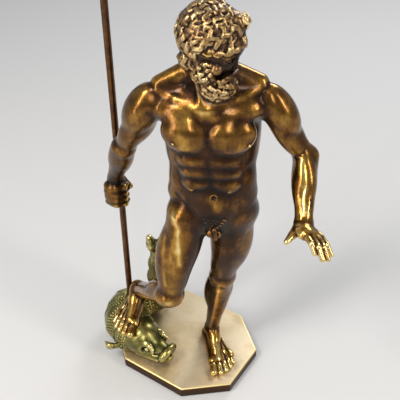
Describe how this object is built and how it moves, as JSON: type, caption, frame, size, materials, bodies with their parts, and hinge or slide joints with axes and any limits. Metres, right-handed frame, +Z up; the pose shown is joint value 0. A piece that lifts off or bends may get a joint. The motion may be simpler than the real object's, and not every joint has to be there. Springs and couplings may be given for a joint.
{
  "type": "sea god statuette",
  "caption": "Cast figurine of a bearded sea god with a trident, one foot on a coiled sea beast, on an elongated octagonal base.",
  "frame": {"origin": "centre of the base's flat underside, on the floor", "axes": "+Z up; the figure's chest faces -Y; +X is the figure's left, where its free arm is"},
  "size_m": [0.1759, 0.1247, 0.3658],
  "materials": {
    "base": "satin pale bronze top, dark brown edge, polished rim",
    "figure": "brown patinated bronze, rubbed bright on high points",
    "sea_beast": "green patinated bronze, rubbed bright on high points",
    "trident": "dark brown bronze"
  },
  "bodies": {
    "root": {"base": "base", "figure": "figure", "sea_beast": "sea_beast", "trident": "trident"}
  },
  "joints": []
}
